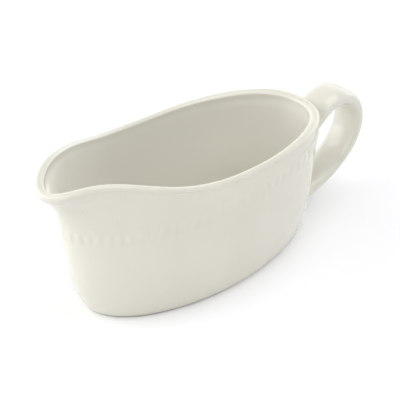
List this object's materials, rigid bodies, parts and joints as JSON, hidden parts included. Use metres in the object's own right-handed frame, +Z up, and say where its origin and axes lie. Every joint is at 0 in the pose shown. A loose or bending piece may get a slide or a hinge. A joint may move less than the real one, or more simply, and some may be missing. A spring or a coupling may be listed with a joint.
{
  "type": "gravy boat",
  "caption": "Oval glazed stoneware pouring boat for gravy or sauce, with a raised pinched lip, a rolled rim, a row of small beads round the shoulder and a strap handle.",
  "frame": {"origin": "on the table plane, under the middle of the overall length from the lip to the back of the handle, in the plane of symmetry", "axes": "+Z up, +X towards the handle, -X towards the pouring lip, +Y across the boat; y = 0 is the plane of symmetry"},
  "size_m": [0.238, 0.0836, 0.093],
  "materials": {
    "ivory_glaze": "gloss ivory glaze over stoneware",
    "joining_clay": "joining slip fired with the body and covered by the same gloss glaze"
  },
  "bodies": {
    "root": {"boat_body": "ivory_glaze", "handle": "ivory_glaze", "upper_handle_joint": "joining_clay", "lower_handle_joint": "joining_clay"}
  },
  "joints": []
}
